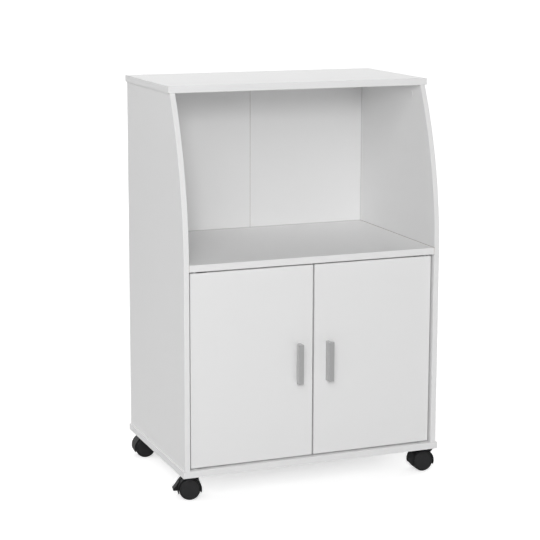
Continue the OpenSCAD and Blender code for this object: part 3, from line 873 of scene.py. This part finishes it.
def screws(
    node: str,
    body: str,
    material: bpy.types.Material,
    outward: Triple,
    across: float,
) -> None:
    """Stands screws with round-edged heads and cross recesses in for a CAD node.

    Args:
        node: the CAD node.
        body: the body that the screws ride on.
        material: their finish.
        outward: the direction that their heads face.
        across: the size of the cross recess in metres.
    """
    piece = Bench.copy_node(node, node + "_soft")
    Bench.soften(piece, Bench.HEAD_EDGE)
    facing = Vector(outward)
    cutter = Bench.cross_cutter(Bench.heads(piece, facing), facing, across)
    Bench.carve(piece, cutter)
    stand_in(piece, node, body, material)


def dress_node(node: str, material: bpy.types.Material) -> None:
    """Gives a CAD node that stays visible its finish."""
    Bench.dress(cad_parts[node], material)
    LOG.info("%s: %s", node, material.name)


# ---- Sub-assemblies ----


@dataclass
class Carcass:
    """Boards, back and joinery of the cabinet."""

    palette: Palette
    edge: float = 0.0006
    long_edge: float = 0.004
    banding: float = 0.7
    pin_edge: float = 0.0003
    bush_edge: float = 0.0002
    catch_edge: float = 0.0005
    bottom_cross: float = 0.0048
    catch_cross: float = 0.0042
    caster_cross: float = 0.0036
    boards: tuple[str, ...] = (
        "top_panel",
        "left_side_panel",
        "right_side_panel",
        "bottom_panel",
        "microwave_shelf",
        "inner_shelf",
    )
    open_ended: tuple[str, ...] = ("microwave_shelf", "inner_shelf")

    def build(self) -> None:
        """Makes and dresses all pieces of the cabinet."""
        raw = self.palette.get(Chipboard())
        bare = self.edge * self.banding
        for node in self.boards:
            skin = self.palette.get(self.skin(node))
            piece = soft_copy(node, "cabinet", skin, self.edge, self.long_edge)
            low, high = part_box(node)
            Bench.dress_beyond(piece, raw, 1, high[1] - bare)
            if node in self.open_ended:
                Bench.dress_beyond(piece, raw, 0, high[0] - bare)
                Bench.dress_beyond(piece, raw, 0, low[0] + bare)
        self.dress_back()
        self.dress_joinery()

    def skin(self, node: str) -> Melamine:
        """Chooses the finish of a board, with painted shade along the lines where it meets others.

        Args:
            node: the board's CAD node.

        Returns:
            Its finish.
        """
        low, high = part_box(node)
        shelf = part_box("microwave_shelf")
        if node == "microwave_shelf":
            lines = (Seam("X", high[0]), Seam("Y", high[1]))
            return Melamine("white melamine shelf", lines=lines)
        if node.endswith("side_panel"):
            lines = (Seam("Z", shelf[0][2]), Seam("Z", shelf[1][2]))
            return Melamine("white melamine sides", lines=lines, reach=shelf[1][0] + 0.0003)
        return Melamine()

    def dress_back(self) -> None:
        """Dresses the folding back, its tape and its nails."""
        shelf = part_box("microwave_shelf")
        rear_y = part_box("left_back_leaf")[1][1]
        lines = (
            Seam("X", shelf[1][0]),
            Seam("Z", shelf[1][2]),
            Seam("Z", shelf[0][2]),
            Seam("Z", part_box("top_panel")[0][2]),
            Seam("Z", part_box("bottom_panel")[1][2]),
        )
        back = self.palette.get(Hardboard("hardboard", rear_y, lines=lines))
        for side in Side:
            dress_node(f"{side.value}_back_leaf", back)
        tape = self.palette.get(Moulded("brown tape", (0.30, 0.19, 0.11), 0.5))
        dress_node("back_fold_tape", tape)
        dress_node("back_nails", self.palette.get(Plated()))

    def dress_joinery(self) -> None:
        """Dresses fasteners, pins, bushes and the magnetic catch."""
        zinc = self.palette.get(Plated())
        plastic = Moulded("white plastic", (0.78, 0.78, 0.77), 0.4, grain=0.00003, rubbed=0.05)
        white = self.palette.get(plastic)
        for node in ("cam_locks", "cam_bolts"):
            dress_node(node, zinc)
        soft_copy("shelf_pins", "cabinet", zinc, self.pin_edge)
        screws("bottom_screws", "cabinet", zinc, DOWN, self.bottom_cross)
        screws("catch_screws", "cabinet", zinc, DOWN, self.catch_cross)
        screws("caster_screws", "cabinet", zinc, DOWN, self.caster_cross)
        soft_copy("magnetic_catch", "cabinet", white, self.catch_edge)
        soft_copy("cam_caps", "cabinet", self.palette.get(Melamine()), self.pin_edge)
        soft_copy("pivot_bushes", "cabinet", white, self.bush_edge)
        dress_node("dowels", self.palette.get(Birch()))


@dataclass
class Door:
    """One door with its handle, pivots, screws and strike plate."""

    side: Side
    palette: Palette
    edge: float = 0.0008
    long_edge: float = 0.004
    handle_edge: float = 0.0003
    pivot_edge: float = 0.0002
    plate_edge: float = 0.0003
    handle_cross: float = 0.0046

    def build(self) -> None:
        """Makes and dresses the pieces of the door."""
        s = self.side.value
        body = f"{s}_door_body"
        board = self.palette.get(Melamine())
        soft_copy(f"{s}_door", body, board, self.edge, self.long_edge)
        soft_copy(f"{s}_door_handle", body, self.palette.get(Silver()), self.handle_edge)
        zinc = self.palette.get(Plated())
        screws(f"{s}_handle_screws", body, zinc, REARWARD, self.handle_cross)
        soft_copy(f"{s}_door_pivots", body, zinc, self.pivot_edge)
        soft_copy(f"{s}_strike_plate", body, zinc, self.plate_edge)


@dataclass
class Caster:
    """One twin-wheel caster with its plate, hood, axle, wheels and brake lever."""

    corner: Corner
    braked: bool
    palette: Palette
    long_edge: float = 0.001
    plate_edge: float = 0.0003
    hood_edge: float = 0.0005
    wheel_edge: float = 0.0004
    lever_edge: float = 0.0004
    hood_finish: Moulded = Moulded("black nylon hood", (0.013, 0.013, 0.014), 0.40, shine=0.14)
    tread_finish: Moulded = Moulded("black nylon wheel", (0.015, 0.015, 0.016), 0.44, shine=0.3)
    paint: Moulded = Moulded("black painted steel", (0.018, 0.018, 0.019), 0.5, shine=0.3)

    def build(self) -> None:
        """Makes and dresses the pieces of the caster."""
        c = self.corner.value
        swivel = f"{c}_swivel"
        hood = self.palette.get(self.hood_finish)
        tread = self.palette.get(self.tread_finish)
        soft_copy(f"{c}_caster_plate", "cabinet", self.palette.get(self.paint), self.plate_edge)
        dress_node(f"{c}_caster_axle", self.palette.get(Plated()))
        soft_copy(f"{c}_caster_hood", swivel, hood, self.hood_edge, self.long_edge)
        for letter in "ab":
            wheel = f"{c}_wheel_{letter}"
            soft_copy(wheel, f"{wheel}_body", tread, self.wheel_edge, self.long_edge)
        if self.braked:
            soft_copy(f"{c}_brake_lever", f"{c}_brake_body", hood, self.lever_edge)


# ---- Studio ----


@dataclass(frozen=True)
class Lamp:
    """A square soft light that faces a point."""

    name: str
    place: Triple
    aim: Triple
    side: float
    watts: float

    def build(self) -> None:
        """Adds the light."""
        data = bpy.data.lights.new(self.name, "AREA")
        data.shape = "SQUARE"
        data.size = self.side
        data.energy = self.watts
        lamp = bpy.data.objects.new(self.name, data)
        lamp.location = self.place
        ray = Vector(self.aim) - Vector(self.place)
        lamp.rotation_euler = ray.to_track_quat("-Z", "Y").to_euler()
        bpy.context.scene.collection.objects.link(lamp)


@dataclass
class Studio:
    """Floor, world, lights and the camera."""

    ambient: float = 0.25
    floor_side: float = 80.0
    floor_grey: float = 0.86
    near_glow: float = 0.58
    glow_start: float = 0.9
    glow_full: float = 4.0
    camera_place: Triple = (-1.402, -3.442, 1.205)
    camera_turn: float = -21.745
    camera_dip: float = 9.939
    camera_roll: float = 0.166
    camera_shift: float = -0.08
    lens: float = 111.26
    film_width: float = 36.0
    sight: float = 200.0
    lamps: tuple[Lamp, ...] = (
        Lamp("key light", (-1.9, -4.6, 2.0), (0.0, 0.0, 0.55), 0.8, 59.2),
        Lamp("high front light", (-2.6, -4.1, 3.6), (0.0, 0.0, 0.55), 2.2, 63.4),
        Lamp("right front light", (-0.497, -3.536, 1.85), (0.0, 0.0, 0.55), 1.2, 11.5),
        Lamp("overhead light", (0.0, 0.9, 2.6), (0.0, 0.0, 0.8), 1.5, 12.5),
        Lamp("left rear light", (-2.8, 0.9, 2.0), (0.0, 0.0, 0.6), 1.5, 17.4),
        Lamp("right rear light", (2.8, 0.9, 2.0), (0.0, 0.0, 0.6), 1.5, 22.0),
    )

    def build(self) -> None:
        """Sets up everything around the cart."""
        self.set_world()
        self.add_floor()
        for lamp in self.lamps:
            lamp.build()
        self.add_camera()
        bpy.context.scene.view_settings.view_transform = "Standard"

    def set_world(self) -> None:
        """Makes an even white surrounding that lights the cart more softly than it looks."""
        world = bpy.data.worlds.new("studio")
        world.use_nodes = True
        tree = world.node_tree
        tree.nodes.clear()
        out = tree.nodes.new("ShaderNodeOutputWorld")
        path = tree.nodes.new("ShaderNodeLightPath")
        seen = path.outputs["Is Camera Ray"]
        for ray in ("Is Glossy Ray", "Is Transmission Ray"):
            either = tree.nodes.new("ShaderNodeMath")
            either.operation = "MAXIMUM"
            tree.links.new(seen, either.inputs[0])
            tree.links.new(path.outputs[ray], either.inputs[1])
            seen = either.outputs[0]
        mix = tree.nodes.new("ShaderNodeMixShader")
        tree.links.new(seen, mix.inputs[0])
        for slot, strength in ((1, self.ambient), (2, 1.0)):
            white = tree.nodes.new("ShaderNodeBackground")
            white.inputs["Color"].default_value = (1.0, 1.0, 1.0, 1.0)
            white.inputs["Strength"].default_value = strength
            tree.links.new(white.outputs[0], mix.inputs[slot])
        tree.links.new(mix.outputs[0], out.inputs["Surface"])
        bpy.context.scene.world = world

    def add_floor(self) -> None:
        """Lays the pale floor, which shows white and keeps a soft shadow."""
        Bench.clear()
        bpy.ops.mesh.primitive_plane_add(size=self.floor_side, location=(0.0, 0.0, 0.0))
        floor = bpy.context.object
        floor.name = "floor"
        g = Graph("pale floor")
        matt = g.add("ShaderNodeBsdfDiffuse", inputs={"Color": (*[self.floor_grey] * 3, 1.0)})
        seen = Signal(g, g.add("ShaderNodeLightPath").outputs["Is Camera Ray"])
        far = g.add("ShaderNodeVectorMath", {"operation": "LENGTH"}, {0: g.coordinates})
        fade = Signal(g, far.outputs["Value"]).above(self.glow_start, self.glow_full)
        white = {"Color": (1.0, 1.0, 1.0, 1.0), "Strength": 1.0}
        glow = g.add("ShaderNodeEmission", inputs=white)
        share = seen * (fade * (1.0 - self.near_glow) + self.near_glow)
        lit = g.add("ShaderNodeMixShader", inputs={0: share, 2: glow.outputs[0]})
        both = g.add("ShaderNodeAddShader", inputs={0: matt.outputs[0], 1: lit.outputs[0]})
        g.tree.links.new(both.outputs[0], g.output.inputs["Surface"])
        Bench.dress(floor, g.material)

    def add_camera(self) -> None:
        """Adds the camera at the photograph's viewing angle."""
        data = bpy.data.cameras.new("camera")
        data.sensor_fit = "HORIZONTAL"
        data.sensor_width = self.film_width
        data.lens = self.lens
        data.shift_y = self.camera_shift
        data.clip_end = self.sight
        camera = bpy.data.objects.new("camera", data)
        turn = (
            Matrix.Rotation(math.radians(self.camera_turn), 4, "Z")
            @ Matrix.Rotation(math.radians(90.0 - self.camera_dip), 4, "X")
            @ Matrix.Rotation(math.radians(self.camera_roll), 4, "Z")
        )
        camera.matrix_world = Matrix.Translation(self.camera_place) @ turn
        bpy.context.scene.collection.objects.link(camera)
        bpy.context.scene.camera = camera


def main() -> None:
    """Builds the studio, then the cart, sub-assembly by sub-assembly."""
    logging.basicConfig(level=logging.INFO, format="%(name)s: %(message)s")
    Studio().build()
    palette = Palette()
    Carcass(palette).build()
    for side in Side:
        Door(side, palette).build()
    for corner in Corner:
        Caster(corner, corner.value.startswith("front"), palette).build()
    Bench.clear()


if __name__ == "__main__":
    main()
